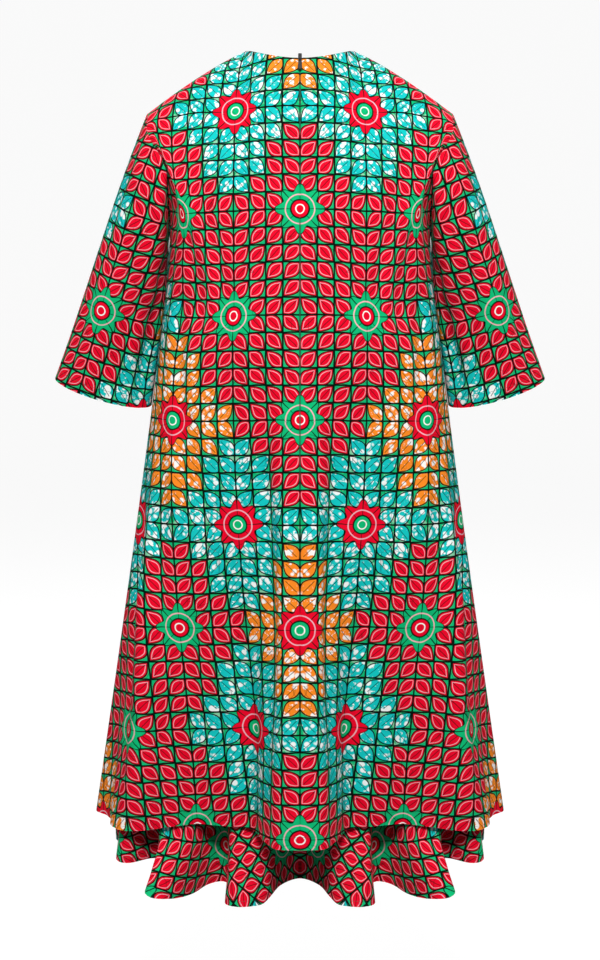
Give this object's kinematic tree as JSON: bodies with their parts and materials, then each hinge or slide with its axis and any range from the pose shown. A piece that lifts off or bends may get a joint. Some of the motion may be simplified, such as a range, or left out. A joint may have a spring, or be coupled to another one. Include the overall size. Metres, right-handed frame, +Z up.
{
  "type": "maxi dress",
  "caption": "A-line maxi dress in bright printed cotton, worn shape and hollow, with elbow-length flared sleeves, a fluted flounce below the hem and a back zip.",
  "frame": {"origin": "midway between the high points of the shoulders, where the neckline meets the shoulder seams", "axes": "+Z up, +Y the way the wearer faces, +X to the wearer's right"},
  "size_m": [0.7054, 0.4065, 1.1965],
  "materials": {
    "wax_print": "printed cotton, matte with a light sheen",
    "zip_tape": "woven polyester tape, matte",
    "zip_black": "satin black"
  },
  "bodies": {
    "dress": {"back_left": "wax_print", "back_right": "wax_print", "front": "wax_print", "sleeve_left_back": "wax_print", "sleeve_left_front": "wax_print", "sleeve_right_back": "wax_print", "sleeve_right_front": "wax_print", "flounce_back": "wax_print", "flounce_front": "wax_print", "zip_tape": "zip_tape", "zip_slider": "zip_black"},
    "pull_tab": {"pull_tab": "zip_black"}
  },
  "joints": [
    {"name": "pull_tab_swing", "type": "hinge", "parent": "dress", "child": "pull_tab", "pos_m": [0, -0.06496, -0.0146], "axis": [-1, 0, 0], "range_deg": [0, 145]}
  ]
}
